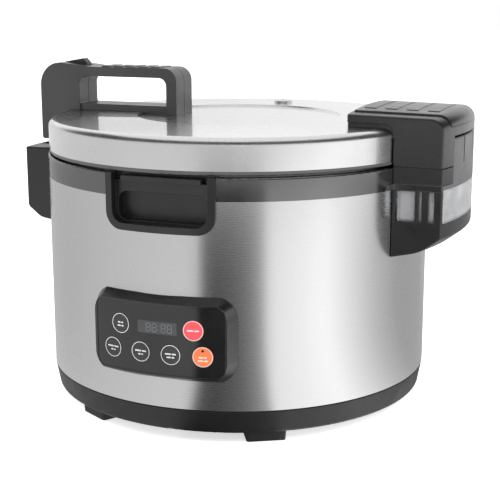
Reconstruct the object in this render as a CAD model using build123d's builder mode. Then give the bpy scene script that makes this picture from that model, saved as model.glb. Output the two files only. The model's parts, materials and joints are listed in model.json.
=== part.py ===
from build123d import *

import math
import os

# A catering-size rice cooker. Millimetres, +Z up, origin on the body's axis at floor level.
# The control panel faces -Y, the lid's hinge and the dew collector are at +X, and the latch is at -X.

# ---------------------------------------------------------------- driving dimensions

# heights above the floor
FOOT_H = 12.0
SHELL_Z = 37.0
BAND_Z = 247.0
RIM_Z = 269.8
LID_Z = 275.6
LID_EDGE_Z = 307.5
LID_TOP_Z = 308.6
HANDLE_Z = 358.0

# body
BODY_R = 210.0
SHELL_T = 1.0
WALL = 3.0
LINER_R = 182.0
LINER_Z = 58.0
POT_R = 178.0
POT_T = 2.0
HOT_PLATE_R = 85.0
ELEMENT_R = 62.0
HOT_PLATE_T = 12.0
POT_Z = 84.0
WOOL_R = 192.0
FOOT_RADIUS = 184.0
FOOT_ANGLES = (60, 120, 240, 300)

# lid
LID_R = 209.0
LID_T = 1.0
RECESS_R = 112.4
RECESS_DEPTH = 2.3
SHOULDER_R = 8.0

# housings outside the body
HOUSING_R = 258.0
LATCH_R = 255.0
HINGE_W = 150.0
LATCH_W = 80.0
BACK_R = BODY_R + 0.6
FIT = 0.3

# hinge pin axis, along Y
HINGE_X = 246.0
HINGE_Z = 278.0
HINGE_PIN_R = 3.0
KNUCKLE_R = 6.5
KNUCKLE_W = 10.0
FIXED_KNUCKLE_Y = 17.0
LID_KNUCKLE_Y = 28.0
PIN_CLEARANCE = 0.05

# dew collector
TOWER_W = 102.0
TOWER_Z = 299.0
CUP_Z = 215.2
CUP_TOP_Z = 249.2
FRAME_TOP_Z = 253.2
BLOCK_Z = 253.5
BLOCK_TOP_Z = 270.6
CUP_T = 2.0
CUP_BACK_R = 214.0
FACE_T = 1.8
TAB_W = 42.8
TAB_SLOT = 3.2
STRIP_Z = 247.5

# hinge cover on the lid, with a raised plate on top
COVER_TIP_X = 147.0
COVER_BOTTOM_Z = 271.0
COVER_TOP_Z = 326.7
CROWN_R = 937.0
CROWN_SLOPE = 1.0
NOTCH_Z = 301.2
SKIN = 3.0
LID_GAP = 1.6
SIDE_WINDOWS = ((200.0, 20.0), (224.0, 3.0), (234.0, 5.5))
SIDE_STEP = 1.5
SIDE_GAP_Z = 5.0
PLATE_W = 115.0
PLATE_RISE = 1.6
PLATE_INSET = 4.0
PLATE_GAP = 1.0
PLATE_T = 1.8
PLATE_END_Z = 311.0
PAD_H = 0.6
PAD_L = 12.0
PAD_W = 80.0
PAD_PITCH = 22.0
FIRST_PAD_X = 168.3

# handle on the lid, a loop standing across the latch side
HANDLE_W = 42.0
HANDLE_X0 = -240.0
HANDLE_X1 = -66.5
LEG_Z = 273.0
BAR_INSET = 2.5
SEAM_W = 0.8
SEAM_DEPTH = 0.5
GRIP_PAD_H = 0.8
GRIP_PAD_PITCH = 15.5
FIRST_GRIP_PAD_X = -157.0

# release lever and latch hook
LEVER_X = -211.0
LEVER_Z = 358.5
LEVER_W = 10.6
HOOK_PIN_X = -222.0
HOOK_PIN_Z = 318.0
HOOK_T = 10.0
LATCH_PIN_R = 2.5

# grip pockets in the rim
GRIP_W = 117.0
GRIP_Z = 214.0
GRIP_BACK_Y = 190.0
GRIP_DEEP_Y = 184.5
GRIP_DEEP_Z = 258.0
GRIP_FACE_R = 212.5
GRIP_WALL = 7.5
RAIL_Y = 197.0
RAIL_Z = 251.8
RAIL_W = 86.0
RAIL_H = 5.2

# control panel
PANEL_Z = 110.0
PANEL_X = 1.5
PANEL_R = 222.0
PANEL_FACE_H = 74.0
PANEL_BASE_H = 86.0
PANEL_BACK_Y = 195.0
PANEL_BACK_W = 155.5
PANEL_BACK_H = 97.0
PANEL_CORNER = 28.0
PANEL_TILT = 22.0
OVERLAY_W = 138.0
OVERLAY_H = 69.6
OVERLAY_T = 1.6
INLET_TILT = 20.0
KEY_R = 10.3
KEY_GAP = 0.3
KEY_STEM_R = 3.0
BOARD_Y = 203.0
DISPLAY = (2.8, 122.0, 42.5, 13.2)

# the keys' places on the panel: distance round the panel from its middle line, and height
KEYS = {
    "delay_key": (-38.0, 122.0),
    "short_grain_key": (-48.0, 96.0),
    "long_grain_key": (-15.0, 96.0),
    "porridge_key": (17.4, 96.0),
    "power_key": (40.7, 122.0),
    "keep_warm_key": (50.0, 96.0),
}

FAR = 1200.0

# ---------------------------------------------------------------- helpers


def profile(points, radii=0):
    """A closed face in the XZ plane through (x, z) points, with one rounding radius for each corner."""
    with BuildSketch(Plane.XZ) as face:
        with BuildLine():
            FilletPolyline(*points, radius=radii, close=True)
        make_face()
    return face.sketch


def outward(angle, height, radius=0.0):
    """A plane whose normal points out from the body's axis; 0 is +X and -90 is the panel's side."""
    direction = Vector(1, 0, 0).rotate(Axis.Z, angle)
    origin = direction * radius + Vector(0, 0, height)
    return Plane(origin=origin, x_dir=direction.rotate(Axis.Z, 90), z_dir=direction)


def upright(outline, length):
    """An XZ outline given thickness along Y, half on each side of the middle."""
    return extrude(outline, amount=length / 2, both=True, mode=Mode.PRIVATE)


def on_the_side(x, z, radius, length, y=0.0):
    """A cylinder lying along Y."""
    return Pos(x, y, z) * Rot(90, 0, 0) * Cylinder(radius, length, mode=Mode.PRIVATE)


def around(outline):
    """An XZ outline turned about the body's axis."""
    return revolve(outline, axis=Axis.Z, mode=Mode.PRIVATE)


def shell_ring(inner, outer, low, high):
    """A plain ring about the body's axis."""
    return around(profile([(inner, low), (outer, low), (outer, high), (inner, high)]))


def slab(width, start_x):
    """Everything within half a width of the XZ plane, from a start along X."""
    box = Box(FAR, width, FAR, align=(Align.MIN, Align.CENTER, Align.CENTER), mode=Mode.PRIVATE)
    return box.moved(Pos(start_x, 0, 0))


def key_angle(along):
    """The direction of a key that sits a given distance round the panel."""
    return -90 + math.degrees(along / PANEL_R)


# ---------------------------------------------------------------- shapes that pieces are fitted to

LID_ENVELOPE = around(
    profile(
        [
            (0, LID_Z),
            (LID_R, LID_Z),
            (LID_R, LID_EDGE_Z),
            (RECESS_R, LID_TOP_Z),
            (RECESS_R - 1.2, LID_TOP_Z - RECESS_DEPTH),
            (0, LID_TOP_Z - RECESS_DEPTH),
        ],
        [0, 0, SHOULDER_R, 0.6, 0.6, 0],
    )
)


def grip_block(top, back_y):
    """The room that a grip pocket takes on the panel's side, up to a height and back to a depth."""
    half = GRIP_W / 2
    outline = profile([(-half, GRIP_Z), (half, GRIP_Z), (half, top), (-half, top)], [18, 18, 0, 0])
    return Pos(0, -back_y, 0) * extrude(outline, amount=40)


GRIP_CUT = grip_block(RIM_Z + 10, GRIP_BACK_Y)
GRIP_CUTS = [GRIP_CUT, Rot(0, 0, 180) * GRIP_CUT]

# ---------------------------------------------------------------- base, shell and band

FOOT_PLACES = [Rot(0, 0, angle) * Pos(FOOT_RADIUS, 0, 0) for angle in FOOT_ANGLES]

with BuildPart() as feet:
    with BuildSketch(Plane.XY.offset(FOOT_H)):
        with Locations(*FOOT_PLACES):
            RectangleRounded(28, 42, 4)
    extrude(amount=-FOOT_H, taper=5)

with BuildPart() as base_pan:
    base_outline = profile(
        [
            (0, FOOT_H),
            (205.6, FOOT_H),
            (BODY_R, SHELL_Z - 0.8),
            (208.8, SHELL_Z - 0.8),
            (208.8, SHELL_Z + 8),
            (205.8, SHELL_Z + 8),
            (202.0, FOOT_H + WALL),
            (0, FOOT_H + WALL),
        ],
        [0, 3, 1, 0, 0, 0, 2, 0],
    )
    revolve(base_outline, axis=Axis.Z)
    with BuildSketch(Plane.XY.offset(FOOT_H)):
        with PolarLocations(110, 24):
            SlotOverall(34, 4)
    extrude(amount=WALL, mode=Mode.SUBTRACT)

with BuildPart() as outer_shell:
    add(shell_ring(BODY_R - SHELL_T, BODY_R, SHELL_Z, BAND_Z))
    for block in GRIP_CUTS:
        add(block, mode=Mode.SUBTRACT)
    with BuildSketch(Plane.XZ.offset(GRIP_BACK_Y)):
        with Locations((0, PANEL_Z)):
            RectangleRounded(126, 64, 6)
    extrude(amount=30, mode=Mode.SUBTRACT)
    with BuildSketch(Plane.XZ.offset(-GRIP_BACK_Y)):
        with Locations((0, 85)):
            RectangleRounded(44, 36, 4)
    extrude(amount=-30, mode=Mode.SUBTRACT)

with BuildPart() as trim_band:
    band_outline = profile(
        [
            (BODY_R - WALL, BAND_Z),
            (BODY_R + 0.5, BAND_Z),
            (BODY_R + 0.5, RIM_Z),
            (LINER_R + 1.2, RIM_Z),
            (LINER_R + 1.2, RIM_Z - WALL),
            (BODY_R - WALL, RIM_Z - WALL),
        ],
        [0, 0, 2, 0, 0, 0],
    )
    revolve(band_outline, axis=Axis.Z)
    for block in GRIP_CUTS:
        add(block, mode=Mode.SUBTRACT)
    strip_h = BLOCK_Z - STRIP_Z
    ring = shell_ring(BACK_R, HOUSING_R, STRIP_Z, BLOCK_Z)
    ledge_ring = shell_ring(BODY_R, BODY_R + 2, STRIP_Z, BLOCK_Z)
    upward = (Align.MIN, Align.CENTER, Align.MIN)
    wall_zone = Box(FAR, WALL, strip_h, align=upward, mode=Mode.PRIVATE)
    flange_zone = Box(FAR, WALL + 16, strip_h, align=upward, mode=Mode.PRIVATE)
    for side in (-1, 1):
        middle = Pos(150, side * (HINGE_W - WALL) / 2, STRIP_Z)
        add(ring & (middle * wall_zone))
        add(ledge_ring & (middle * flange_zone))
    strip_clear = Box(FAR, HINGE_W - 2 * WALL, strip_h, align=upward, mode=Mode.PRIVATE)
    strip_ring = shell_ring(BODY_R + 0.5, HOUSING_R, STRIP_Z, BLOCK_Z)
    add(strip_ring & (Pos(150, 0, STRIP_Z) * strip_clear), mode=Mode.SUBTRACT)

# ---------------------------------------------------------------- heating chamber and pot

with BuildPart() as inner_liner:
    liner_outline = profile(
        [
            (0, LINER_Z),
            (LINER_R, LINER_Z),
            (LINER_R, RIM_Z - WALL - 1),
            (LINER_R + 7, RIM_Z - WALL - 1),
            (LINER_R + 7, RIM_Z - WALL),
            (LINER_R - 1, RIM_Z - WALL),
            (LINER_R - 1, LINER_Z + 1),
            (0, LINER_Z + 1),
        ],
        [0, 6, 0, 0, 0, 0, 5, 0],
    )
    revolve(liner_outline, axis=Axis.Z)
    Cylinder(12, FAR, mode=Mode.SUBTRACT)
    with Locations((-ELEMENT_R, 0, LINER_Z), (ELEMENT_R, 0, LINER_Z)):
        Cylinder(3.5, 10, mode=Mode.SUBTRACT)

with BuildPart() as side_heater:
    add(shell_ring(LINER_R, LINER_R + 1.5, 90, 130))

with BuildPart() as liner_insulation:
    add(shell_ring(LINER_R, WOOL_R, 66, 205))
    add(shell_ring(LINER_R, LINER_R + 1.5, 90, 130), mode=Mode.SUBTRACT)

with BuildPart() as liner_supports:
    with BuildSketch(Plane.XY.offset(FOOT_H + WALL)):
        with PolarLocations(150, 3, start_angle=90):
            Circle(6)
            Circle(4, mode=Mode.SUBTRACT)
    extrude(amount=LINER_Z - FOOT_H - WALL)

with BuildPart() as heating_element:
    with BuildSketch(Plane.XZ):
        with Locations((ELEMENT_R, POT_Z - HOT_PLATE_T - 4)):
            Circle(4)
    revolve(axis=Axis.Z)
    with BuildSketch(Plane.XY.offset(POT_Z - HOT_PLATE_T - 4)):
        with Locations((ELEMENT_R, 0), (-ELEMENT_R, 0)):
            Circle(3)
    extrude(amount=-22)

with BuildPart() as heating_plate:
    with BuildSketch(Plane.XY.offset(POT_Z - HOT_PLATE_T)):
        Circle(HOT_PLATE_R)
        Circle(20, mode=Mode.SUBTRACT)
    extrude(amount=HOT_PLATE_T)
    with BuildSketch(Plane.XY.offset(LINER_Z + 1)):
        with PolarLocations(76, 3):
            Circle(4)
    extrude(amount=POT_Z - HOT_PLATE_T - LINER_Z - 1)

with BuildPart() as thermostat_bracket:
    with BuildSketch(Plane.XY.offset(LINER_Z - 2)):
        Circle(28)
        Circle(5 + PIN_CLEARANCE, mode=Mode.SUBTRACT)
    extrude(amount=2)

with BuildPart() as thermostat_plunger:
    with Locations((0, 0, POT_Z - FIT)):
        Cylinder(16, 6, align=(Align.CENTER, Align.CENTER, Align.MAX))
        Cylinder(5, 38, align=(Align.CENTER, Align.CENTER, Align.MAX))
    fillet(thermostat_plunger.edges().group_by(Axis.Z)[-1], 1)

with BuildPart() as thermostat_spring:
    with BuildLine():
        coil = Helix(pitch=3.5, height=14, radius=8, center=(0, 0, 60))
    with BuildSketch(Plane(origin=coil @ 0, z_dir=coil % 0)):
        Circle(0.6)
    sweep()

with BuildPart() as thermal_fuse:
    with Locations((95, 40, LINER_Z)):
        Box(26, 12, 1, align=(Align.CENTER, Align.CENTER, Align.MAX))
    with Locations((95, 40, LINER_Z - 3)):
        Cylinder(2.5, 20, rotation=(0, 90, 0))

with BuildPart() as inner_pot:
    pot_outline = profile(
        [
            (0, POT_Z),
            (POT_R, POT_Z),
            (POT_R, RIM_Z),
            (POT_R + 18, RIM_Z),
            (POT_R + 18, RIM_Z + 1.5),
            (POT_R - POT_T, RIM_Z + 1.5),
            (POT_R - POT_T, POT_Z + POT_T),
            (0, POT_Z + POT_T),
        ],
        [0, 25, 0, 0, 0, 1, 23, 0],
    )
    revolve(pot_outline, axis=Axis.Z)

# ---------------------------------------------------------------- carrying grips


def grip():
    """The pocket on the panel's side: a proud U frame, a deep hollow and a rail over it for the fingers."""
    opening = GRIP_W / 2 - GRIP_WALL
    floor_z = GRIP_Z + GRIP_WALL - 0.5
    above_deep = Box(FAR, 50, 50, align=(Align.CENTER, Align.MIN, Align.MIN), mode=Mode.PRIVATE)
    block = grip_block(RIM_Z, GRIP_DEEP_Y) - above_deep.moved(Pos(0, -GRIP_BACK_Y, GRIP_DEEP_Z))
    with BuildPart() as pocket:
        add(block)
        Cylinder(GRIP_FACE_R, FAR, mode=Mode.INTERSECT)
        with BuildSketch(Plane.XZ.offset(RAIL_Y)):
            with BuildLine():
                FilletPolyline(
                    (-opening, floor_z),
                    (opening, floor_z),
                    (opening, RIM_Z + 5),
                    (-opening, RIM_Z + 5),
                    radius=[12, 12, 0, 0],
                    close=True,
                )
            make_face()
        extrude(amount=20, mode=Mode.SUBTRACT)
        with BuildSketch(Plane.XZ.offset(GRIP_DEEP_Y + 2.5)):
            with Locations((0, (RAIL_Z + floor_z) / 2)):
                RectangleRounded(2 * opening - 6, RAIL_Z - floor_z - 2, 9)
        extrude(amount=20, mode=Mode.SUBTRACT)
        with BuildSketch(Plane.XZ.offset(GRIP_BACK_Y + 2.5)):
            with Locations((0, RIM_Z)):
                Rectangle(2 * opening, 2 * (RIM_Z - 262))
        extrude(amount=20, mode=Mode.SUBTRACT)
        with BuildSketch(Plane.XZ.offset(GRIP_BACK_Y + 2.5)):
            with Locations((0, 264.4)):
                RectangleRounded(RAIL_W, RAIL_H, 2)
        extrude(amount=RAIL_Y + 5.5 - GRIP_BACK_Y - 2.5)
    return pocket


front_grip = grip()

with BuildPart() as rear_grip:
    add(Rot(0, 0, 180) * front_grip.part)

# ---------------------------------------------------------------- control panel

panel_window = profile(
    [
        (PANEL_X - OVERLAY_W / 2, PANEL_Z - OVERLAY_H / 2),
        (PANEL_X + OVERLAY_W / 2, PANEL_Z - OVERLAY_H / 2),
        (PANEL_X + OVERLAY_W / 2, PANEL_Z + OVERLAY_H / 2),
        (PANEL_X - OVERLAY_W / 2, PANEL_Z + OVERLAY_H / 2),
    ],
    8,
)
panel_ring = profile(
    [
        (PANEL_BACK_Y - 30, PANEL_Z - PANEL_BASE_H / 2),
        (BODY_R, PANEL_Z - PANEL_BASE_H / 2),
        (PANEL_R, PANEL_Z - PANEL_FACE_H / 2),
        (PANEL_R, PANEL_Z + PANEL_FACE_H / 2),
        (BODY_R, PANEL_Z + PANEL_BASE_H / 2),
        (PANEL_BACK_Y - 30, PANEL_Z + PANEL_BASE_H / 2),
    ]
)

with BuildPart() as panel_housing:
    with BuildSketch(Plane.XZ.offset(PANEL_BACK_Y)):
        with Locations((PANEL_X / 2, PANEL_Z)):
            RectangleRounded(PANEL_BACK_W, PANEL_BACK_H, PANEL_CORNER)
    extrude(amount=PANEL_R + 10 - PANEL_BACK_Y, taper=PANEL_TILT)
    add(around(panel_ring), mode=Mode.INTERSECT)
    Cylinder(BODY_R, FAR, mode=Mode.SUBTRACT)
    extrude(panel_window, amount=PANEL_R + 10, mode=Mode.SUBTRACT)

with BuildPart() as panel_overlay:
    extrude(panel_window, amount=PANEL_R + 10)
    Cylinder(PANEL_R - 0.4, FAR, mode=Mode.INTERSECT)
    Cylinder(PANEL_R - 0.4 - OVERLAY_T, FAR, mode=Mode.SUBTRACT)
    for along, height in KEYS.values():
        with BuildSketch(outward(key_angle(along), height, BODY_R)):
            Circle(KEY_R + KEY_GAP)
        extrude(amount=20, mode=Mode.SUBTRACT)
    with BuildSketch(outward(key_angle(DISPLAY[0]), DISPLAY[1], BODY_R)):
        RectangleRounded(DISPLAY[2], DISPLAY[3], 1)
    extrude(amount=20, mode=Mode.SUBTRACT)

with BuildPart() as display_window:
    with BuildSketch(outward(key_angle(DISPLAY[0]), DISPLAY[1], BODY_R)):
        RectangleRounded(DISPLAY[2], DISPLAY[3], 1)
    extrude(amount=20)
    Cylinder(PANEL_R - 0.6, FAR, mode=Mode.INTERSECT)
    Cylinder(PANEL_R - 0.4 - OVERLAY_T, FAR, mode=Mode.SUBTRACT)


def key(along, height):
    """One round key with a stem that reaches back towards the board."""
    with BuildPart() as button:
        with BuildSketch(outward(key_angle(along), height, PANEL_R - 0.2)):
            Circle(KEY_R)
        extrude(amount=-2.4)
        fillet(button.edges().filter_by(GeomType.CIRCLE).sort_by(SortBy.DISTANCE)[-1], 0.4)
        with BuildSketch(outward(key_angle(along), height, PANEL_R - 2.2)):
            Circle(KEY_STEM_R)
        extrude(amount=-(PANEL_R - 2.2 - 211.5))
    return button


keys = {name: key(*place) for name, place in KEYS.items()}

with BuildPart() as control_board:
    with Locations((0, -BOARD_Y, PANEL_Z)):
        Box(120, 1.6, 56)
    with Locations((0, -BOARD_Y + 5, PANEL_Z - 8)):
        Box(40, 9, 18)
    with Locations((35, -BOARD_Y + 4, PANEL_Z + 10)):
        Box(16, 7, 12)

# ---------------------------------------------------------------- electrics in the base and at the rear

with BuildPart() as power_board:
    with Locations((0, 100, 26)):
        Box(110, 70, 1.6)
    with Locations((-30, 100, 36)):
        Box(28, 32, 18.5)
    with Locations((20, 90, 34)):
        Box(30, 22, 14.5)
    with GridLocations(100, 60, 2, 2):
        with Locations((0, 100, FOOT_H + WALL)):
            Cylinder(3, 10.3, align=(Align.CENTER, Align.CENTER, Align.MIN))

with BuildPart() as inlet_housing:
    with BuildSketch(Plane.XZ.offset(-195)):
        with Locations((0, 85)):
            RectangleRounded(70, 62, 8)
    extrude(amount=-34, taper=INLET_TILT)
    with Locations((0, PANEL_R, 0)):
        Box(FAR, FAR, FAR, align=(Align.CENTER, Align.MAX, Align.CENTER), mode=Mode.INTERSECT)
    Cylinder(BODY_R, FAR, mode=Mode.SUBTRACT)
    with Locations((0, 200, 85)):
        Box(30, 60, 24, mode=Mode.SUBTRACT)

with BuildPart() as power_inlet:
    with Locations((0, 207, 85)):
        Box(30, 26, 24)
    with Locations((0, 214, 85)):
        Box(25, 16, 18, mode=Mode.SUBTRACT)
    with Locations((-7, 211, 83), (7, 211, 83), (0, 211, 88)):
        Box(2, 12, 5)

# ---------------------------------------------------------------- latch housing, strike, hook and lever

latch_shape = profile(
    [
        (-BODY_R, 177.8),
        (-BODY_R, 265),
        (-LATCH_R, 265),
        (-LATCH_R, 195),
        (-239, 182.2),
    ],
    [0, 0, 2, 6, 20],
)
latch_hollow = profile(
    [
        (-BODY_R + 5, 181),
        (-BODY_R + 5, 262),
        (-LATCH_R + WALL, 262),
        (-LATCH_R + WALL, 197),
        (-238.5, 185.6),
    ],
    [0, 0, 1, 4, 17],
)

with BuildPart() as latch_housing:
    add(around(latch_shape))
    Box(FAR, LATCH_W, FAR, align=(Align.MAX, Align.CENTER, Align.CENTER), mode=Mode.INTERSECT)
    latch_corners = latch_housing.edges().filter_by(Axis.Z).group_by(Axis.X)[0]
    fillet(latch_corners, 2)
    Cylinder(BACK_R, FAR, mode=Mode.SUBTRACT)
    add(around(latch_hollow) & slab(LATCH_W - 2 * WALL, -FAR), mode=Mode.SUBTRACT)
    with Locations((-234, 0, 262)):
        Box(34, 18, 20, mode=Mode.SUBTRACT)

with BuildPart() as latch_strike:
    with Locations((-BODY_R - 0.6, 0, 235)):
        Box(2, 30, 22, align=(Align.MAX, Align.CENTER, Align.MAX))
        Box(12, 16, 3, align=(Align.MAX, Align.CENTER, Align.MAX))

with BuildPart() as latch_hook:
    with BuildSketch(Plane.XZ):
        with BuildLine():
            Polyline(
                (-223.2, 229.5),
                (-223.2, 231.6),
                (-228.5, 233),
                (-228.5, 310),
                (-214.5, 315.5),
                (-206, 334),
                (-196, 348),
                (-190, 351.5),
                (-190.5, 355.3),
                (-197, 354),
                (-212, 340),
                (-227, 328),
                (-233.5, 318),
                (-233.5, 226),
                (-230, 222),
                close=True,
            )
        make_face()
    extrude(amount=HOOK_T / 2, both=True)
    add(on_the_side(HOOK_PIN_X, HOOK_PIN_Z, LATCH_PIN_R + PIN_CLEARANCE, 40), mode=Mode.SUBTRACT)

with BuildPart() as latch_pin:
    add(on_the_side(HOOK_PIN_X, HOOK_PIN_Z, LATCH_PIN_R, HANDLE_W - 6))

with BuildPart() as release_lever:
    with BuildSketch(Plane.XZ):
        with BuildLine():
            Polyline(
                (-215.5, 355.8),
                (-191, 355.8),
                (-186.5, 358.5),
                (-187.5, 361.5),
                (-192, 366),
                (-215.5, 361.9),
                close=True,
            )
        make_face()
    extrude(amount=LEVER_W / 2 - FIT, both=True)
    add(on_the_side(LEVER_X, LEVER_Z, 1.2 + PIN_CLEARANCE, 60), mode=Mode.SUBTRACT)

with BuildPart() as lever_pin:
    add(on_the_side(LEVER_X, LEVER_Z, 1.2, LEVER_W + 10))

# ---------------------------------------------------------------- lid

with BuildPart() as lid_shell:
    add(LID_ENVELOPE)
    lid_inside = profile(
        [
            (0, LID_Z - 5),
            (LID_R - LID_T, LID_Z - 5),
            (LID_R - LID_T, LID_EDGE_Z - LID_T),
            (RECESS_R + 0.7, LID_TOP_Z - LID_T),
            (RECESS_R - 0.5, LID_TOP_Z - RECESS_DEPTH - LID_T),
            (0, LID_TOP_Z - RECESS_DEPTH - LID_T),
        ],
        [0, 0, SHOULDER_R - LID_T, 0.4, 0.4, 0],
    )
    revolve(lid_inside, axis=Axis.Z, mode=Mode.SUBTRACT)
    with Locations((0, 145, 300)):
        Cylinder(4, 40, mode=Mode.SUBTRACT)
    screw_places = [(x, side * 10.5) for x in (-73, -197) for side in (-1, 1)]
    with Locations(*[(x, y, 300) for x, y in screw_places]):
        Cylinder(2.2, 40, mode=Mode.SUBTRACT)

with BuildPart() as lid_ring:
    ring_outline = profile(
        [
            (198, 271.6),
            (208.2, 271.6),
            (208.2, LID_Z),
            (LID_R - LID_T, LID_Z),
            (LID_R - LID_T, LID_Z + 6),
            (204, LID_Z + 6),
            (204, LID_Z),
            (198, LID_Z),
        ],
        [0, 1.2, 0, 0, 0, 0, 0, 0],
    )
    revolve(ring_outline, axis=Axis.Z)

with BuildPart() as lid_gasket:
    add(shell_ring(184, 198, 271.7, LID_Z))

with BuildPart() as inner_lid:
    with BuildSketch(Plane.XY.offset(LID_Z)):
        Circle(203)
        Circle(4, mode=Mode.SUBTRACT)
        with PolarLocations(150, 6, start_angle=90):
            Circle(4, mode=Mode.SUBTRACT)
    extrude(amount=1.5)

with BuildPart() as inner_lid_knob:
    with Locations((0, 0, LID_Z)):
        Cylinder(16, 8, align=(Align.CENTER, Align.CENTER, Align.MAX))
        Cylinder(4, 20, align=(Align.CENTER, Align.CENTER, Align.MIN))

with BuildPart() as lid_insulation:
    add(shell_ring(4, 200, LID_Z + 1.5, 298))
    with Locations((0, 145, 290)):
        Cylinder(9, 60, mode=Mode.SUBTRACT)

with BuildPart() as steam_vent:
    with Locations((0, 145, LID_TOP_Z - 0.3)):
        Cylinder(11, 3, align=(Align.CENTER, Align.CENTER, Align.MIN))
        fillet(steam_vent.edges().group_by(Axis.Z)[-1], 1)
    add(LID_ENVELOPE, mode=Mode.SUBTRACT)
    with Locations((0, 145, LID_TOP_Z + 0.5)):
        Cylinder(4, 31, align=(Align.CENTER, Align.CENTER, Align.MAX))
    with Locations((0, 145, 290)):
        Cylinder(2.2, 80, mode=Mode.SUBTRACT)

# ---------------------------------------------------------------- handle

handle_outline = profile(
    [
        (HANDLE_X0, LEG_Z),
        (HANDLE_X0, 361.5),
        (-213, 361.5),
        (-177, 357.5),
        (HANDLE_X1, HANDLE_Z),
        (HANDLE_X1, 300),
        (-190, 300),
        (-190, LEG_Z),
    ],
    [3, 26, 0, 0, 15, 0, 0, 0],
)
window_outline = profile([(-189, 315.5), (-79, 315.5), (-79, 347), (-189, 347)], [1.5, 1.5, 9, 9])
hook_room = profile(
    [
        (-238.2, 260),
        (-236.5, 326),
        (-220, 346),
        (-214, 353),
        (-183.5, 353),
        (-184, 347.8),
        (-192, 345.5),
        (-202, 331),
        (-208.5, 313),
        (-217, 304),
        (-217, 260),
    ]
)
lever_room = profile([(-217.5, 351), (-183.5, 351), (-183.5, 380), (-217.5, 380)])
bar_side = profile([(-189, 290), (-79, 290), (-79, 315.5), (-189, 315.5)])

with BuildPart() as handle_loop:
    add(upright(handle_outline, HANDLE_W))
    pad_starts = [FIRST_GRIP_PAD_X + pad * GRIP_PAD_PITCH for pad in range(5)]
    with Locations(*[(start, 0, HANDLE_Z + GRIP_PAD_H) for start in pad_starts]):
        Box(11, HANDLE_W - 12, 5, align=(Align.CENTER, Align.CENTER, Align.MAX))
    add(upright(window_outline, HANDLE_W + 20), mode=Mode.SUBTRACT)
    add(upright(offset(window_outline, SEAM_DEPTH), SEAM_W), mode=Mode.SUBTRACT)
    add(upright(handle_outline - offset(handle_outline, -SEAM_DEPTH), SEAM_W), mode=Mode.SUBTRACT)
    add(upright(bar_side, FAR) - upright(bar_side, HANDLE_W - 2 * BAR_INSET), mode=Mode.SUBTRACT)
    add(LID_ENVELOPE, mode=Mode.SUBTRACT)
    Cylinder(LID_R + 0.4, 2 * (LID_EDGE_Z - SHOULDER_R), mode=Mode.SUBTRACT)
    add(upright(hook_room, HOOK_T + 6), mode=Mode.SUBTRACT)
    add(upright(lever_room, LEVER_W), mode=Mode.SUBTRACT)
    add(on_the_side(HOOK_PIN_X, HOOK_PIN_Z, LATCH_PIN_R, HANDLE_W - 6), mode=Mode.SUBTRACT)
    add(on_the_side(LEVER_X, LEVER_Z, 1.2, LEVER_W + 10), mode=Mode.SUBTRACT)
    with Locations(*[(x, y, 300) for x, y in screw_places]):
        Cylinder(2.2, 44, mode=Mode.SUBTRACT)


def handle_half(side):
    """Half of the handle, on one side of its middle seam."""
    with BuildPart() as half:
        add(handle_loop.part)
        with Locations((0, side * FAR / 2, 0)):
            Box(FAR, FAR, FAR, mode=Mode.INTERSECT)
    return half


handle_front = handle_half(-1)
handle_rear = handle_half(1)

with BuildPart() as handle_screws:
    with Locations(*[(x, y, 298) for x, y in screw_places]):
        Cylinder(2.2, 22, align=(Align.CENTER, Align.CENTER, Align.MIN))

# ---------------------------------------------------------------- hinge cover on the lid

COVER_CROWN = Pos(0, 0, COVER_TOP_Z - CROWN_R) * Rot(0, 90 + CROWN_SLOPE, 0) * Cylinder(CROWN_R, 2 * FAR)


def cover_block(inset, rise=0.0):
    """The cover's outer form, or the same form drawn in by a wall's thickness or raised at its top."""
    with BuildPart() as block:
        with BuildSketch(Plane.XY.offset(250)):
            Circle(HOUSING_R - inset)
            with Locations((COVER_TIP_X + inset, 0)):
                width = HINGE_W - 2 * inset
                Rectangle(FAR, width, align=(Align.MIN, Align.CENTER), mode=Mode.INTERSECT)
        extrude(amount=100)
        uprights = block.edges().filter_by(Axis.Z).sort_by(Axis.X)
        fillet(uprights[:2], 5 - inset)
        add(Pos(0, 0, rise - inset) * COVER_CROWN, mode=Mode.INTERSECT)
        top_edges = block.faces().sort_by(Axis.Z)[-1].edges().sort_by(Axis.X)
        fillet(top_edges[-1], 14 - inset)
        if rise == 0 and inset <= PLATE_T:
            crown_edges = block.faces().sort_by(Axis.Z)[-1].edges()
            fillet(crown_edges.filter_by(lambda edge: abs(edge.center().Y) > 40), 2 - inset / 2)
    return block.part


cover_outer = cover_block(0)
cover_inner = cover_block(SKIN)
lid_wall = Cylinder(LID_R + LID_GAP + SKIN, FAR)
above_lid = Pos(0, 0, LID_TOP_Z + 3) * Box(FAR, FAR, 100, align=(Align.CENTER, Align.CENTER, Align.MIN))
side_core = slab(HINGE_W - 2 * SIDE_STEP, COVER_TIP_X + SIDE_STEP)

with BuildPart() as cover_form:
    add(cover_outer)
    with Locations((0, 0, COVER_BOTTOM_Z)):
        Box(FAR, FAR, 200, align=(Align.CENTER, Align.CENTER, Align.MIN), mode=Mode.INTERSECT)
    with Locations((0, 0, 200)):
        Cylinder(LID_R + LID_GAP, 2 * 99.5, mode=Mode.SUBTRACT)
    add(LID_ENVELOPE, mode=Mode.SUBTRACT)
    add((Pos(0, 0, SIDE_GAP_Z) * LID_ENVELOPE) - side_core, mode=Mode.SUBTRACT)
    add(cover_inner - lid_wall, mode=Mode.SUBTRACT)
    add(cover_inner & above_lid, mode=Mode.SUBTRACT)
    with Locations((HOUSING_R, 0, 0)):
        Box(30, TOWER_W + 2 * FIT, 2 * NOTCH_Z, mode=Mode.SUBTRACT)


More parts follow.
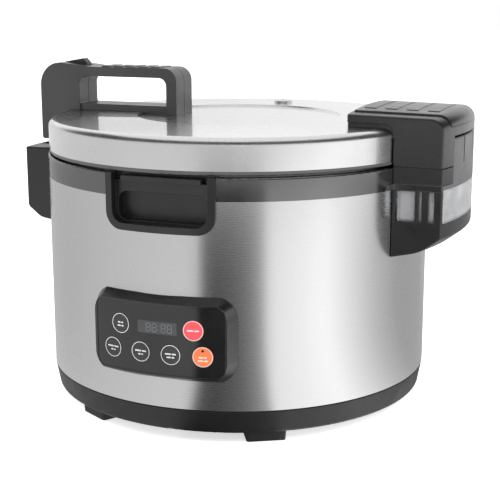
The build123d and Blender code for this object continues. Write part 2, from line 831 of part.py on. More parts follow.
def plate_zone(margin):
    """The room of the raised top plate, with a margin round it."""
    start = Pos(COVER_TIP_X + PLATE_INSET - margin, 0, PLATE_END_Z)
    return start * Box(FAR, PLATE_W + 2 * margin, 60, align=(Align.MIN, Align.CENTER, Align.MIN))


under_plate = cover_block(PLATE_T)
plate_recess = (cover_outer & plate_zone(PLATE_GAP)) - under_plate
plate_outer = cover_block(0, PLATE_RISE)
plate_body = (plate_outer & plate_zone(0)) - under_plate
pad_ring = cover_block(0, PLATE_RISE + PAD_H) - plate_outer

with BuildPart() as hinge_cover:
    add(cover_form.part)
    add(plate_recess, mode=Mode.SUBTRACT)

with BuildPart() as hinge_top_plate:
    add(plate_body)
    for pad in range(4):
        pad_box = Box(PAD_L, PAD_W, 60, align=(Align.MAX, Align.CENTER, Align.MIN), mode=Mode.PRIVATE)
        add(pad_ring & pad_box.moved(Pos(FIRST_PAD_X + pad * PAD_PITCH, 0, PLATE_END_Z)))

# ---------------------------------------------------------------- hinge bracket, pin and lid bracket

with BuildPart() as hinge_pin:
    add(on_the_side(HINGE_X, HINGE_Z, HINGE_PIN_R, 2 * LID_KNUCKLE_Y + KNUCKLE_W))

with BuildPart() as hinge_bracket:
    for side in (-1, 1):
        add(on_the_side(HINGE_X, HINGE_Z, KNUCKLE_R, KNUCKLE_W, side * FIXED_KNUCKLE_Y))
        with Locations((HINGE_X, side * FIXED_KNUCKLE_Y, HINGE_Z)):
            Box(2 * KNUCKLE_R - 2, KNUCKLE_W, HINGE_Z - 260, align=(Align.CENTER, Align.CENTER, Align.MAX))
    with Locations((215, 0, 260)):
        Box(36.5, 50, 3, align=(Align.MIN, Align.CENTER, Align.MAX))
    add(on_the_side(HINGE_X, HINGE_Z, HINGE_PIN_R + PIN_CLEARANCE, 100), mode=Mode.SUBTRACT)

with BuildPart() as lid_hinge_bracket:
    for side in (-1, 1):
        add(on_the_side(HINGE_X, HINGE_Z, KNUCKLE_R, KNUCKLE_W, side * LID_KNUCKLE_Y))
        with Locations((HINGE_X, side * LID_KNUCKLE_Y, HINGE_Z)):
            Box(36, KNUCKLE_W, 11, align=(Align.MAX, Align.CENTER, Align.CENTER))
    Cylinder(LID_R + LID_GAP + SKIN, FAR, mode=Mode.SUBTRACT)
    with BuildSketch(Plane.XY.offset(HINGE_Z - 5.5)):
        Circle(LID_R + LID_GAP + SKIN + 3)
        Circle(LID_R + LID_GAP + SKIN, mode=Mode.SUBTRACT)
        with Locations((200, 0)):
            Rectangle(60, 90, mode=Mode.INTERSECT)
    extrude(amount=26)
    add(on_the_side(HINGE_X, HINGE_Z, HINGE_PIN_R, 100), mode=Mode.SUBTRACT)

# ---------------------------------------------------------------- fixed hinge block and lower housing

hinge_zone = slab(HINGE_W, 150)
inner_zone = slab(HINGE_W - 2 * WALL, 150)

with BuildPart() as hinge_block:
    add(shell_ring(BACK_R, HOUSING_R, BLOCK_Z, BLOCK_TOP_Z) & hinge_zone)
    block_hollow = shell_ring(BACK_R + WALL, HOUSING_R - WALL, BLOCK_Z - 5, BLOCK_TOP_Z - WALL)
    add(block_hollow & inner_zone, mode=Mode.SUBTRACT)
    with Locations((HOUSING_R, 0, BLOCK_Z)):
        Box(50, TOWER_W + 2 * FIT, 60, align=(Align.CENTER, Align.CENTER, Align.CENTER), mode=Mode.SUBTRACT)
    add(shell_ring(226, HOUSING_R - 5.5, BLOCK_TOP_Z - WALL, BLOCK_TOP_Z) & slab(TOWER_W + 1, 150))
    for side in (-1, 1):
        with Locations((HINGE_X, side * FIXED_KNUCKLE_Y, BLOCK_TOP_Z)):
            Box(2 * KNUCKLE_R + 1, KNUCKLE_W + 1, 20, mode=Mode.SUBTRACT)
        with Locations((HINGE_X, side * 63, HINGE_Z)):
            Cone(10.3, 7.4, 26, rotation=(-side * 90, 0, 0), mode=Mode.SUBTRACT)

housing_shape = profile(
    [
        (BACK_R, 178),
        (238, 184.5),
        (HOUSING_R, 200),
        (HOUSING_R, CUP_Z - 0.4),
        (BACK_R, CUP_Z - 0.4),
    ],
    [0, 40, 4, 0, 0],
)
housing_hollow = profile(
    [
        (BACK_R + WALL, 182),
        (237, 188),
        (HOUSING_R - WALL, 202),
        (HOUSING_R - WALL, CUP_Z - 0.4 - WALL),
        (BACK_R + WALL, CUP_Z - 0.4 - WALL),
    ],
    [0, 36, 3, 0, 0],
)

with BuildPart() as hinge_housing:
    add(around(housing_shape) & hinge_zone)
    add(around(housing_hollow) & inner_zone, mode=Mode.SUBTRACT)
    add((shell_ring(BACK_R, HOUSING_R, CUP_Z - 0.4, STRIP_Z) & hinge_zone) - inner_zone)
    for side in (-1, 1):
        for start_x, window_w in SIDE_WINDOWS:
            with Locations((start_x, side * HINGE_W / 2, CUP_Z + 0.4)):
                upward = (Align.MIN, Align.CENTER, Align.MIN)
                Box(window_w, 20, STRIP_Z - CUP_Z - 1.2, align=upward, mode=Mode.SUBTRACT)

# ---------------------------------------------------------------- dew collector

cup_zone = slab(HINGE_W - 2 * WALL - 2 * FIT, 150)
cup_inside = slab(HINGE_W - 2 * WALL - 2 * FIT - 2 * CUP_T, 150)

with BuildPart() as collector_cup:
    add(shell_ring(CUP_BACK_R, HOUSING_R - 1, CUP_Z, CUP_TOP_Z) & cup_zone)
    add(shell_ring(HOUSING_R - FACE_T, HOUSING_R, CUP_Z, CUP_TOP_Z) & cup_zone)
    add(
        shell_ring(CUP_BACK_R + CUP_T, HOUSING_R - FACE_T, CUP_Z + CUP_T, CUP_TOP_Z + 1) & cup_inside,
        mode=Mode.SUBTRACT,
    )

tower_zone = slab(TOWER_W, 150)

with BuildPart() as collector_frame:
    add(shell_ring(CUP_BACK_R, HOUSING_R - 1, CUP_TOP_Z, CUP_TOP_Z + 2) & cup_zone)
    add(shell_ring(HOUSING_R - FACE_T, HOUSING_R, CUP_TOP_Z, FRAME_TOP_Z) & cup_zone)
    tower_outline = profile(
        [
            (HOUSING_R - 2.5, CUP_TOP_Z),
            (HOUSING_R, CUP_TOP_Z),
            (HOUSING_R, TOWER_Z),
            (HOUSING_R - 2.5, TOWER_Z),
        ],
        [0, 0, 2.2, 0],
    )
    add(revolve(tower_outline, axis=Axis.Z, mode=Mode.PRIVATE) & tower_zone)
    with Locations((230, 0, CUP_TOP_Z)):
        Box(12, 40, 10, mode=Mode.SUBTRACT)
    with Locations((230, 0, CUP_TOP_Z + 2)):
        Box(16, 44, 24, align=(Align.CENTER, Align.CENTER, Align.MAX))
        Box(12, 40, 30, align=(Align.CENTER, Align.CENTER, Align.MAX), mode=Mode.SUBTRACT)
    with BuildSketch(Plane.YZ.offset(240)):
        with Locations((-TAB_W / 2, 286), (TAB_W / 2, 286)):
            SlotOverall(30, TAB_SLOT, rotation=90)
    extrude(amount=30, mode=Mode.SUBTRACT)

# ---------------------------------------------------------------- fasteners

with BuildPart() as foot_screws:
    with Locations(*[Pos(0, 0, FOOT_H + WALL) * place for place in FOOT_PLACES]):
        Cylinder(4.5, 2.5, align=(Align.CENTER, Align.CENTER, Align.MIN))

# ---------------------------------------------------------------- files

PIECES = {
    "feet": feet,
    "foot_screws": foot_screws,
    "base_pan": base_pan,
    "outer_shell": outer_shell,
    "trim_band": trim_band,
    "inner_liner": inner_liner,
    "side_heater": side_heater,
    "liner_insulation": liner_insulation,
    "liner_supports": liner_supports,
    "heating_plate": heating_plate,
    "heating_element": heating_element,
    "thermostat_bracket": thermostat_bracket,
    "thermostat_plunger": thermostat_plunger,
    "thermostat_spring": thermostat_spring,
    "thermal_fuse": thermal_fuse,
    "inner_pot": inner_pot,
    "front_grip": front_grip,
    "rear_grip": rear_grip,
    "panel_housing": panel_housing,
    "panel_overlay": panel_overlay,
    "display_window": display_window,
    "control_board": control_board,
    "power_board": power_board,
    "inlet_housing": inlet_housing,
    "power_inlet": power_inlet,
    "latch_housing": latch_housing,
    "latch_strike": latch_strike,
    "latch_hook": latch_hook,
    "latch_pin": latch_pin,
    "release_lever": release_lever,
    "lever_pin": lever_pin,
    "lid_shell": lid_shell,
    "lid_ring": lid_ring,
    "lid_gasket": lid_gasket,
    "inner_lid": inner_lid,
    "inner_lid_knob": inner_lid_knob,
    "lid_insulation": lid_insulation,
    "steam_vent": steam_vent,
    "handle_front": handle_front,
    "handle_rear": handle_rear,
    "handle_screws": handle_screws,
    "hinge_cover": hinge_cover,
    "hinge_top_plate": hinge_top_plate,
    "lid_hinge_bracket": lid_hinge_bracket,
    "hinge_pin": hinge_pin,
    "hinge_bracket": hinge_bracket,
    "hinge_block": hinge_block,
    "hinge_housing": hinge_housing,
    "collector_frame": collector_frame,
    "collector_cup": collector_cup,
    **keys,
}

os.makedirs("parts", exist_ok=True)
for name, piece in PIECES.items():
    piece.part.label = name
    export_step(piece.part, f"parts/{name}.step")
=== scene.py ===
import json
import math

import bpy
from mathutils import Matrix, Vector


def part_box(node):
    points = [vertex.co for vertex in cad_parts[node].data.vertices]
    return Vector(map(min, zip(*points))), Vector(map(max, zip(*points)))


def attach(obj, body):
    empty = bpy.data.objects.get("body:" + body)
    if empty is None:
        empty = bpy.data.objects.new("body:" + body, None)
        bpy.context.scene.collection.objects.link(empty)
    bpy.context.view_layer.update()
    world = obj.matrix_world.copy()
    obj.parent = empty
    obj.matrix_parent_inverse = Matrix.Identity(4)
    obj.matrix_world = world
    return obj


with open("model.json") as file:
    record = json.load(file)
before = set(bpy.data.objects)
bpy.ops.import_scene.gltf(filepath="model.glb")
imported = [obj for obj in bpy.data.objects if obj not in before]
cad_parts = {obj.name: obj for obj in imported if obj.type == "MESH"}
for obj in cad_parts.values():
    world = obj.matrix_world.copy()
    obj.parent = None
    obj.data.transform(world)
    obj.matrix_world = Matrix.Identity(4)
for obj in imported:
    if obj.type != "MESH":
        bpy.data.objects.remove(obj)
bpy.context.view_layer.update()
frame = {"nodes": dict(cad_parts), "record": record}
NODES = frame["nodes"]
RECORD = frame["record"]

# ---------------------------------------------------------------- camera

CAMERA_AZIMUTH = math.radians(22.1)
CAMERA_DISTANCE = 1.3014
CAMERA_HEIGHT = 0.4446
CAMERA_AIM = Vector((-0.3585, 0.9077, -0.2183))
CAMERA_LENS = 84.18
SENSOR_WIDTH = 36.0
VIEW_DEPTH = 50.0


def make_camera():
    """The eye stands a little to the right of the control panel and looks slightly down."""
    data = bpy.data.cameras.new("camera")
    data.sensor_width = SENSOR_WIDTH
    data.lens = CAMERA_LENS
    data.clip_end = VIEW_DEPTH
    eye = bpy.data.objects.new("camera", data)
    eye.location = (
        math.sin(CAMERA_AZIMUTH) * CAMERA_DISTANCE,
        -math.cos(CAMERA_AZIMUTH) * CAMERA_DISTANCE,
        CAMERA_HEIGHT,
    )
    eye.rotation_euler = CAMERA_AIM.to_track_quat("-Z", "Y").to_euler()
    bpy.context.scene.collection.objects.link(eye)
    bpy.context.scene.camera = eye


make_camera()

# ---------------------------------------------------------------- shader helpers

# the part of a noise's range that most of its values lie in
NOISE_LOW = 0.3
NOISE_HIGH = 0.7
# places of the colour sockets of a Mix node
MIX_SHARE = 0
MIX_FIRST = 6
MIX_SECOND = 7
MIX_RESULT = 2
BEVEL_SAMPLES = 4


def add_node(tree, kind, **settings):
    made = tree.nodes.new(kind)
    for key, value in settings.items():
        setattr(made, key, value)
    return made


def start_material(name, roughness=0.5, metallic=0.0):
    material = bpy.data.materials.new(name)
    material.use_nodes = True
    tree = material.node_tree
    shader = tree.nodes["Principled BSDF"]
    shader.inputs["Metallic"].default_value = metallic
    shader.inputs["Roughness"].default_value = roughness
    return material, tree, shader


def grain(tree, pitch, detail=3.0, stretch=(1, 1, 1)):
    """Noise over the piece's own metres, finer in the directions that are stretched more."""
    place = add_node(tree, "ShaderNodeTexCoord")
    mapping = add_node(tree, "ShaderNodeMapping")
    mapping.inputs["Scale"].default_value = [pitch * part for part in stretch]
    noise = add_node(tree, "ShaderNodeTexNoise")
    noise.inputs["Scale"].default_value = 1.0
    noise.inputs["Detail"].default_value = detail
    tree.links.new(place.outputs["Object"], mapping.inputs["Vector"])
    tree.links.new(mapping.outputs["Vector"], noise.inputs["Vector"])
    return noise.outputs["Fac"]


def spread(tree, value, low=0.0, high=1.0):
    """The middle of a noise spread over a range."""
    ranged = add_node(tree, "ShaderNodeMapRange", clamp=True)
    ranged.inputs["From Min"].default_value = NOISE_LOW
    ranged.inputs["From Max"].default_value = NOISE_HIGH
    ranged.inputs["To Min"].default_value = low
    ranged.inputs["To Max"].default_value = high
    tree.links.new(value, ranged.inputs["Value"])
    return ranged.outputs["Result"]


def between(tree, value, first, second):
    """A colour between two colours."""
    mix = add_node(tree, "ShaderNodeMix", data_type="RGBA")
    mix.inputs[MIX_FIRST].default_value = (*first, 1)
    mix.inputs[MIX_SECOND].default_value = (*second, 1)
    tree.links.new(value, mix.inputs[MIX_SHARE])
    return mix.outputs[MIX_RESULT]


def relief(tree, shader, height, depth, edge=0.0):
    """A fine relief in metres, over edges that are softened by a small radius."""
    bump = add_node(tree, "ShaderNodeBump")
    bump.inputs["Distance"].default_value = depth
    tree.links.new(height, bump.inputs["Height"])
    if edge:
        soft = add_node(tree, "ShaderNodeBevel", samples=BEVEL_SAMPLES)
        soft.inputs["Radius"].default_value = edge
        tree.links.new(soft.outputs["Normal"], bump.inputs["Normal"])
    tree.links.new(bump.outputs["Normal"], shader.inputs["Normal"])


def finish_surface(tree, shader, tone, dark, light, smudge, rough):
    """The colour follows one noise between two colours, and the roughness another between two values."""
    tree.links.new(between(tree, spread(tree, tone), dark, light), shader.inputs["Base Color"])
    tree.links.new(spread(tree, smudge, *rough), shader.inputs["Roughness"])


# ---------------------------------------------------------------- materials

# a brushed surface: noise that is long in X and Y and fine in Z
ROUND = (0.02, 0.02, 1.0)


def moulded(name, dark, light, rough=(0.36, 0.5), pitch=1400.0, depth=0.00005, edge=0.0008):
    """Spark-textured moulded plastic: a fine grain, slow changes of tone, and softened edges."""
    material, tree, shader = start_material(name)
    finish_surface(tree, shader, grain(tree, 14.0), dark, light, grain(tree, 55.0), rough)
    relief(tree, shader, grain(tree, pitch, 2.0), depth, edge)
    return material


def glossy(name, dark, light, rough=(0.1, 0.16), edge=0.0003):
    """Smooth glossy plastic with faint finger smears and a slight orange peel."""
    material, tree, shader = start_material(name)
    finish_surface(tree, shader, grain(tree, 30.0), dark, light, grain(tree, 45.0, 5.0), rough)
    relief(tree, shader, grain(tree, 260.0, 1.0), 0.000012, edge)
    shader.inputs["Coat Weight"].default_value = 0.3
    shader.inputs["Coat Roughness"].default_value = 0.06
    return material


def steel(name, dark, light, rough, brush=(1, 1, 1), pitch=900.0, depth=0.000004, turn=None, pull=0.0):
    """Sheet steel, brushed along the directions that are stretched least."""
    material, tree, shader = start_material(name, metallic=1.0)
    lines = grain(tree, pitch, 4.0, brush)
    finish_surface(tree, shader, lines, dark, light, lines, rough)
    relief(tree, shader, lines, depth, 0.0004)
    if turn is not None:
        tangent = add_node(tree, "ShaderNodeTangent", direction_type="RADIAL", axis="Z")
        tree.links.new(tangent.outputs["Tangent"], shader.inputs["Tangent"])
        shader.inputs["Anisotropic"].default_value = pull
        shader.inputs["Anisotropic Rotation"].default_value = turn
    return material


def polished(name, dark, light, rough):
    """Polished sheet steel: a clear mirror image over a wider soft sheen, with faint waviness."""
    material, tree, shader = start_material(name, metallic=1.0)
    wave = grain(tree, 12.0, 1.0)
    finish_surface(tree, shader, wave, dark, light, grain(tree, 70.0, 4.0), rough)
    shader.inputs["Coat Weight"].default_value = 1.0
    shader.inputs["Coat Roughness"].default_value = 0.03
    shader.inputs["Coat IOR"].default_value = 1.6
    relief(tree, shader, wave, 0.000001)
    return material


def satin(name, dark, light, rough, index, edge):
    """Lacquered plastic with a strong soft sheen over a fine grain."""
    material = moulded(name, dark, light, rough, 1600.0, 0.00002, edge)
    material.node_tree.nodes["Principled BSDF"].inputs["IOR"].default_value = index
    return material


def clear_plastic(name, dark, light, rough):
    """Clear moulded plastic with a milky haze."""
    material, tree, shader = start_material(name)
    shader.inputs["Transmission Weight"].default_value = 0.72
    shader.inputs["IOR"].default_value = 1.3
    finish_surface(tree, shader, grain(tree, 60.0, 4.0), dark, light, grain(tree, 120.0, 3.0), rough)
    relief(tree, shader, grain(tree, 90.0, 1.0), 0.00003)
    return material


def fibre(name, dark, light):
    """Matted mineral wool."""
    material, tree, shader = start_material(name, roughness=0.95)
    strands = grain(tree, 420.0, 6.0, (1, 1, 0.3))
    tree.links.new(between(tree, spread(tree, strands), dark, light), shader.inputs["Base Color"])
    relief(tree, shader, strands, 0.0006)
    return material


# every material slot of the record: how it is made, its two colours, its roughness and its own settings
FINISHES = {
    "rubber": (moulded, (0.006, 0.006, 0.007), (0.011, 0.011, 0.012), (0.6, 0.75), 900.0, 0.0001),
    "screw_steel": (steel, (0.5, 0.5, 0.51), (0.66, 0.66, 0.67), (0.2, 0.34)),
    "base_plastic": (moulded, (0.003, 0.003, 0.0035), (0.006, 0.006, 0.0065), (0.42, 0.55)),
    "shell_steel": (
        steel, (0.597, 0.597, 0.602), (0.607, 0.607, 0.612), (0.26, 0.28), ROUND, 2600.0, 0.0000003, 0.25, 0.6
    ),
    "band_plastic": (satin, (0.003, 0.003, 0.004), (0.005, 0.005, 0.006), (0.12, 0.17), 2.3, 0.0006),
    "liner_steel": (steel, (0.5, 0.5, 0.5), (0.62, 0.62, 0.62), (0.3, 0.42), ROUND, 1500.0),
    "heater": (moulded, (0.3, 0.12, 0.04), (0.42, 0.18, 0.06), (0.55, 0.7)),
    "wool": (fibre, (0.62, 0.6, 0.5), (0.82, 0.8, 0.7)),
    "plate_aluminium": (steel, (0.7, 0.7, 0.71), (0.8, 0.8, 0.81), (0.3, 0.44), ROUND, 1200.0),
    "element_steel": (steel, (0.22, 0.2, 0.19), (0.4, 0.36, 0.33), (0.4, 0.6)),
    "bracket_steel": (steel, (0.42, 0.43, 0.45), (0.56, 0.57, 0.6), (0.3, 0.46)),
    "spring_steel": (steel, (0.48, 0.48, 0.49), (0.6, 0.6, 0.61), (0.22, 0.34)),
    "grip_plastic": (satin, (0.006, 0.006, 0.007), (0.01, 0.01, 0.011), (0.26, 0.34), 1.55, 0.001),
    "panel_plastic": (satin, (0.003, 0.003, 0.004), (0.005, 0.005, 0.006), (0.2, 0.28), 1.7, 0.0016),
    "overlay_gloss": (glossy, (0.006, 0.006, 0.0065), (0.01, 0.01, 0.0105), (0.08, 0.15)),
    "display": (glossy, (0.03, 0.033, 0.035), (0.04, 0.043, 0.045), (0.1, 0.16)),
    "circuit": (moulded, (0.02, 0.1, 0.04), (0.04, 0.18, 0.07), (0.4, 0.6), 500.0, 0.0002),
    "housing_plastic": (satin, (0.004, 0.004, 0.005), (0.007, 0.007, 0.008), (0.26, 0.36), 1.6, 0.0018),
    "latch_plastic": (moulded, (0.02, 0.02, 0.022), (0.03, 0.03, 0.032), (0.34, 0.46)),
    "pin_steel": (steel, (0.55, 0.55, 0.56), (0.7, 0.7, 0.71), (0.14, 0.24)),
    "lid_steel": (polished, (0.68, 0.68, 0.685), (0.71, 0.71, 0.715), (0.26, 0.32)),
    "lid_trim": (moulded, (0.06, 0.06, 0.062), (0.08, 0.08, 0.083), (0.3, 0.42)),
    "silicone": (moulded, (0.6, 0.6, 0.58), (0.7, 0.7, 0.68), (0.5, 0.62), 600.0),
    "handle_plastic": (satin, (0.021, 0.021, 0.0225), (0.029, 0.029, 0.031), (0.26, 0.34), 1.7, 0.0012),
    "cover_plastic": (satin, (0.004, 0.004, 0.005), (0.007, 0.007, 0.008), (0.24, 0.32), 1.7, 0.0018),
    "collector_grey": (moulded, (0.06, 0.06, 0.064), (0.08, 0.08, 0.084), (0.3, 0.42)),
    "clear": (clear_plastic, (0.62, 0.63, 0.64), (0.74, 0.74, 0.75), (0.03, 0.12)),
    "key_black": (glossy, (0.012, 0.012, 0.0125), (0.018, 0.018, 0.019), (0.12, 0.2)),
    "key_red": (glossy, (0.62, 0.035, 0.05), (0.7, 0.06, 0.075), (0.3, 0.4)),
    "key_orange": (glossy, (0.72, 0.13, 0.03), (0.8, 0.17, 0.04), (0.3, 0.4)),
}
MATERIALS = {slot: maker(slot, *looks) for slot, (maker, *looks) in FINISHES.items()}
for part in RECORD["subparts"]:
    for place in NODES[part["node"]].material_slots:
        place.material = MATERIALS[part["material_slot"]]

# ---------------------------------------------------------------- marks on the panel

PANEL_RADIUS = -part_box("panel_housing")[0][1]
# half a mark's thickness: it stands this far out of the face it is printed on
PRINT = 0.0001
DIGIT_PRINT = 0.00006
LAMP_PRINT = 0.00015
RING_INNER = 0.0094
RING_OUTER = 0.0101
DASH_HEIGHT = 0.0015
DASH_GAP = 0.0007
LONG_DASH = 0.58
ROW_STEP = 0.0034
LAMP_RADIUS = 0.0013
LAMP_RISE = 0.0062
white_ink = glossy("white_ink", (0.46, 0.46, 0.46), (0.56, 0.56, 0.56), (0.4, 0.5))
digit_ink = glossy("digit_ink", (0.11, 0.116, 0.12), (0.14, 0.146, 0.15), (0.25, 0.35))
dark_lens = glossy("dark_lens", (0.01, 0.004, 0.003), (0.02, 0.008, 0.006), (0.06, 0.1))


def outward_frame(angle, radius, height):
    """A matrix whose X runs round the body, Y runs up and Z points out from the body's axis."""
    out = Vector((math.sin(angle), -math.cos(angle), 0))
    across = Vector((math.cos(angle), math.sin(angle), 0))
    turn = Matrix((across, (0, 0, 1), out)).transposed().to_4x4()
    return Matrix.Translation(out * radius + Vector((0, 0, height))) @ turn


def face_place(node):
    """A panel part's direction round the body, its face's distance out and its middle's height."""
    corners = [vertex.co for vertex in NODES[node].data.vertices]
    low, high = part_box(node)
    angle = math.atan2(low[0] + high[0], -low[1] - high[1])
    for _ in range(4):
        across = Vector((math.cos(angle), math.sin(angle), 0))
        reach = [corner.dot(across) for corner in corners]
        angle += (max(reach) + min(reach)) / 2 / PANEL_RADIUS
    out = Vector((math.sin(angle), -math.cos(angle), 0))
    return angle, max(corner.dot(out) for corner in corners), (low[2] + high[2]) / 2


def add_mesh(name, points, faces, material):
    mesh = bpy.data.meshes.new(name)
    mesh.from_pydata(points, [], faces)
    mesh.materials.append(material)
    made = bpy.data.objects.new(name, mesh)
    bpy.context.scene.collection.objects.link(made)
    return made


def solid(name, outlines, places, material, body, thickness=PRINT):
    """One mesh of thin raised shapes: each outline is a list of (x, y) points set on its matrix."""
    points = []
    faces = []
    for outline, matrix in zip(outlines, places):
        count = len(outline)
        base = len(points)
        points += [matrix @ Vector((x, y, -thickness)) for x, y in outline]
        points += [matrix @ Vector((x, y, thickness)) for x, y in outline]
        faces.append([base + count + i for i in range(count)])
        faces.append([base + i for i in reversed(range(count))])
        for i in range(count):
            after = (i + 1) % count
            faces.append([base + i, base + after, base + count + after, base + count + i])
    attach(add_mesh(name, points, faces, material), body)


def ring(name, inner, outer, matrix, material, body, steps=72):
    """A flat printed ring with a little thickness."""
    points = []
    faces = []
    for i in range(steps):
        turn = 2 * math.pi * i / steps
        way = Vector((math.cos(turn), math.sin(turn), 0))
        for radius, lift in ((inner, -PRINT), (inner, PRINT), (outer, PRINT), (outer, -PRINT)):
            points.append(matrix @ (way * radius + Vector((0, 0, lift))))
        now = 4 * i
        after = 4 * ((i + 1) % steps)
        for a, b in ((0, 1), (1, 2), (2, 3), (3, 0)):
            faces.append([now + a, after + a, after + b, now + b])
    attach(add_mesh(name, points, faces, material), body)


def bar(width, height, x=0.0, y=0.0, corner=0.5, steps=4):
    """A bar with rounded corners, as points."""
    radius = corner * min(width, height)
    points = []
    for cx, cy, start in ((1, -1, -90), (1, 1, 0), (-1, 1, 90), (-1, -1, 180)):
        for step in range(steps + 1):
            turn = math.radians(start + 90 * step / steps)
            px = cx * (width / 2 - radius) + radius * math.cos(turn)
            py = cy * (height / 2 - radius) + radius * math.sin(turn)
            points.append((x + px, y + py))
    return points


def disc(radius, x=0.0, y=0.0, steps=28):
    turns = [2 * math.pi * i / steps for i in range(steps)]
    return [(x + radius * math.cos(turn), y + radius * math.sin(turn)) for turn in turns]


def caption(widths, middle):
    """Rows of two dashes each, the first a little longer, around a middle height."""
    dashes = []
    for row, width in enumerate(widths):
        y = middle + ROW_STEP / 2 * (len(widths) - 1) - ROW_STEP * row
        first = width * LONG_DASH - DASH_GAP / 2
        second = width - first - DASH_GAP
        dashes.append(bar(first, DASH_HEIGHT, (first - width) / 2, y))
        dashes.append(bar(second, DASH_HEIGHT, (width - second) / 2, y))
    return dashes


# generic captions: the rows' widths and their middle's height, in dashes that spell nothing
CAPTIONS = {
    "delay_key": ((0.0066, 0.0076), -0.0008),
    "short_grain_key": ((0.0134, 0.0056), -0.0008),
    "long_grain_key": ((0.0126, 0.0056), -0.0008),
    "porridge_key": ((0.0116, 0.0082), -0.0008),
    "power_key": ((0.0124,), 0.0),
    "keep_warm_key": ((0.0082, 0.0100), -0.0022),
}
for key, (widths, middle) in CAPTIONS.items():
    face = outward_frame(*face_place(key))
    ring(key + "_ring", RING_INNER, RING_OUTER, face, white_ink, key)
    dashes = caption(widths, middle)
    solid(key + "_caption", dashes, [face] * len(dashes), white_ink, key)
lamp_face = outward_frame(*face_place("keep_warm_key"))
lamp = disc(LAMP_RADIUS, 0.0, LAMP_RISE)
solid("keep_warm_lamp", [lamp], [lamp_face], dark_lens, "keep_warm_key", LAMP_PRINT)

# the display's unlit digits: each segment has a place in half digits and says whether it stands upright
SEGMENTS = ((0, 1, 0), (0, 0, 0), (0, -1, 0), (-1, 0.5, 1), (1, 0.5, 1), (-1, -0.5, 1), (1, -0.5, 1))
DIGIT_WIDTH = 0.0043
DIGIT_HEIGHT = 0.0082
DIGIT_CENTRES = (-0.0090, -0.0024, 0.0072, 0.0138)
SEGMENT_WIDTH = 0.0007
SEGMENT_SHARE = 0.84
SEGMENT_CORNER = 0.45
COLON_CENTRE = 0.0024
COLON_RISE = 0.0018
COLON_RADIUS = 0.0005


def window_frame(along):
    """A place on the display window, a distance round the panel from the window's middle."""
    angle, radius, height = face_place("display_window")
    return outward_frame(angle + along / PANEL_RADIUS, radius, height)


def make_digits():
    outlines = []
    places = []
    for centre in DIGIT_CENTRES:
        matrix = window_frame(centre)
        for sx, sy, upright in SEGMENTS:
            length = (DIGIT_HEIGHT / 2 if upright else DIGIT_WIDTH) * SEGMENT_SHARE
            size = (SEGMENT_WIDTH, length) if upright else (length, SEGMENT_WIDTH)
            outlines.append(bar(*size, sx * DIGIT_WIDTH / 2, sy * DIGIT_HEIGHT / 2, SEGMENT_CORNER))
            places.append(matrix)
    for y in (-COLON_RISE, COLON_RISE):
        outlines.append(disc(COLON_RADIUS, 0.0, y, 12))
        places.append(window_frame(COLON_CENTRE))
    solid("display_digits", outlines, places, digit_ink, "cooker_body", DIGIT_PRINT)


make_digits()

# ---------------------------------------------------------------- studio

TENT_RADIUS = 0.6
TENT_HEIGHT = 0.95
TENT_RIM = 0.02
TENT_LIFT = 0.001
TENT_STRENGTH = 2.0
FLOOR_SIZE = 24
# the tent's brightness, in degrees round the object from the camera's side
LOW_LEVELS = (
    (-180, 1.0), (-174, 0.8), (-170, 0.15), (-166, 0.55), (-140, 0.6), (-100, 0.68), (-60, 0.82),
    (-19.5, 0.95), (-17, 0.04), (-7, 0.09), (2, 0.18), (8, 0.34), (11.5, 0.5), (13, 1.3), (28, 1.42),
    (42, 1.62), (55, 1.22), (72, 0.78), (90, 0.52), (125, 0.5), (150, 0.7), (180, 1.0),
)
MIDDLE_LEVELS = (
    (-180, 0.88), (-95, 0.75), (-20, 0.76), (8, 0.84), (20, 0.96), (35, 1.14), (50, 1.3), (65, 1.3),
    (90, 1.2), (120, 1.1), (180, 0.9),
)
UPPER_LEVELS = ((-180, 1.05), (-125, 1.05), (-104, 0.08), (104, 0.08), (125, 1.05), (180, 1.05))
TOP_LEVELS = ((-180, 1.3), (180, 1.3))
# the heights between which each band of the tent takes over from the one below it
HIGHER_BANDS = (((0.196, 0.203), MIDDLE_LEVELS), ((0.4, 0.43), UPPER_LEVELS), ((0.9, 0.94), TOP_LEVELS))


def make_floor():
    bpy.ops.mesh.primitive_plane_add(size=FLOOR_SIZE)
    floor = bpy.context.object
    floor.name = "floor"
    material, tree, shader = start_material("floor", roughness=0.7)
    tone = spread(tree, grain(tree, 3.0))
    tree.links.new(between(tree, tone, (0.93, 0.93, 0.93), (0.96, 0.96, 0.96)), shader.inputs["Base Color"])
    shader.inputs["Emission Color"].default_value = (1, 1, 1, 1)
    shader.inputs["Emission Strength"].default_value = 0.6
    floor.data.materials.append(material)


def grey_ramp(tree, value, stops):
    """A grey that changes along a value from 0 to 1: each stop is a place and a level."""
    ramp = add_node(tree, "ShaderNodeValToRGB")
    while len(ramp.color_ramp.elements) < len(stops):
        ramp.color_ramp.elements.new(0.5)
    for stop, (place, level) in zip(ramp.color_ramp.elements, stops):
        stop.position = place
        stop.color = (level, level, level, 1)
    tree.links.new(value, ramp.inputs["Fac"])
    return ramp.outputs["Color"]


def level_ramp(tree, direction, levels):
    """A brightness that changes with the direction round the object, over the tent's strength."""
    stops = [(angle / 360 + 0.5, level / TENT_STRENGTH) for angle, level in levels]
    return grey_ramp(tree, direction, stops)


def blend(tree, height, band, lower, higher):
    """One band of the tent below a height and the next one above it."""
    mix = add_node(tree, "ShaderNodeMix", data_type="RGBA")
    share = grey_ramp(tree, height, ((band[0], 0), (band[1], 1)))
    tree.links.new(share, mix.inputs[MIX_SHARE])
    tree.links.new(lower, mix.inputs[MIX_FIRST])
    tree.links.new(higher, mix.inputs[MIX_SECOND])
    return mix.outputs[MIX_RESULT]


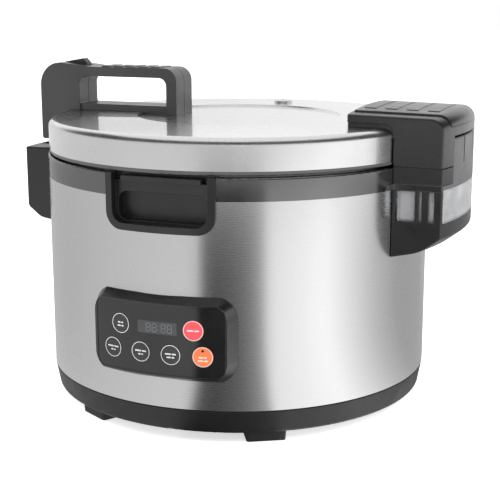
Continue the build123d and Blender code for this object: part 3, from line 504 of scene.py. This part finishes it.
def direction_and_height(tree):
    """A value from 0 to 1 round the object, 0.5 being the camera's side, and the height in metres."""
    place = add_node(tree, "ShaderNodeTexCoord")
    turned = add_node(tree, "ShaderNodeMapping")
    turned.inputs["Rotation"].default_value = (0, 0, -CAMERA_AZIMUTH)
    parts = add_node(tree, "ShaderNodeSeparateXYZ")
    around = add_node(tree, "ShaderNodeMath", operation="ARCTAN2")
    back = add_node(tree, "ShaderNodeMath", operation="MULTIPLY")
    back.inputs[1].default_value = -1.0
    share = add_node(tree, "ShaderNodeMapRange")
    share.inputs["From Min"].default_value = -math.pi
    share.inputs["From Max"].default_value = math.pi
    tree.links.new(place.outputs["Object"], turned.inputs["Vector"])
    tree.links.new(turned.outputs["Vector"], parts.inputs["Vector"])
    tree.links.new(parts.outputs["Y"], back.inputs[0])
    tree.links.new(parts.outputs["X"], around.inputs[0])
    tree.links.new(back.outputs[0], around.inputs[1])
    tree.links.new(around.outputs[0], share.inputs["Value"])
    return share.outputs["Result"], parts.outputs["Z"]


def tent_material():
    """Soft light, fixed to the room, that changes with the direction and the height."""
    material = bpy.data.materials.new("light_tent")
    material.use_nodes = True
    tree = material.node_tree
    tree.nodes.clear()
    direction, height = direction_and_height(tree)
    glow_level = level_ramp(tree, direction, LOW_LEVELS)
    for band, levels in HIGHER_BANDS:
        glow_level = blend(tree, height, band, glow_level, level_ramp(tree, direction, levels))
    glow = add_node(tree, "ShaderNodeEmission")
    glow.inputs["Strength"].default_value = TENT_STRENGTH
    out = add_node(tree, "ShaderNodeOutputMaterial")
    tree.links.new(glow_level, glow.inputs["Color"])
    tree.links.new(glow.outputs["Emission"], out.inputs["Surface"])
    return material


def make_tent(steps=96):
    """A light tent and its disc on the floor, which show only in the object's reflections."""
    rings = ((TENT_RIM, TENT_LIFT), (TENT_RADIUS, TENT_LIFT), (TENT_RADIUS, TENT_HEIGHT))
    points = []
    faces = []
    for i in range(steps):
        turn = 2 * math.pi * i / steps
        points += [(radius * math.cos(turn), radius * math.sin(turn), z) for radius, z in rings]
        now = 3 * i
        after = 3 * ((i + 1) % steps)
        faces.append([now, after, after + 1, now + 1])
        faces.append([now + 1, after + 1, after + 2, now + 2])
    tent = add_mesh("light_tent", points, faces, tent_material())
    tent.visible_camera = False
    tent.visible_diffuse = False
    tent.visible_shadow = False
    tent.visible_transmission = False


def area_light(name, place, size, power, target=(0, 0, 0.2)):
    data = bpy.data.lights.new(name, "AREA")
    data.shape = "RECTANGLE"
    data.size, data.size_y = size
    data.energy = power
    lamp = bpy.data.objects.new(name, data)
    lamp.location = place
    lamp.rotation_euler = (Vector(target) - Vector(place)).to_track_quat("-Z", "Y").to_euler()
    lamp.visible_glossy = False
    bpy.context.scene.collection.objects.link(lamp)


def make_world():
    world = bpy.data.worlds.new("world")
    world.use_nodes = True
    world.node_tree.nodes["Background"].inputs["Color"].default_value = (1, 1, 1, 1)
    world.node_tree.nodes["Background"].inputs["Strength"].default_value = 1.0
    bpy.context.scene.world = world
    bpy.context.scene.view_settings.view_transform = "Standard"


make_floor()
make_tent()
area_light("key_light", (1.8, -0.9, 1.9), (1.4, 1.4), 36)
area_light("fill_light", (-2.2, -0.6, 1.6), (1.4, 1.6), 22)
make_world()
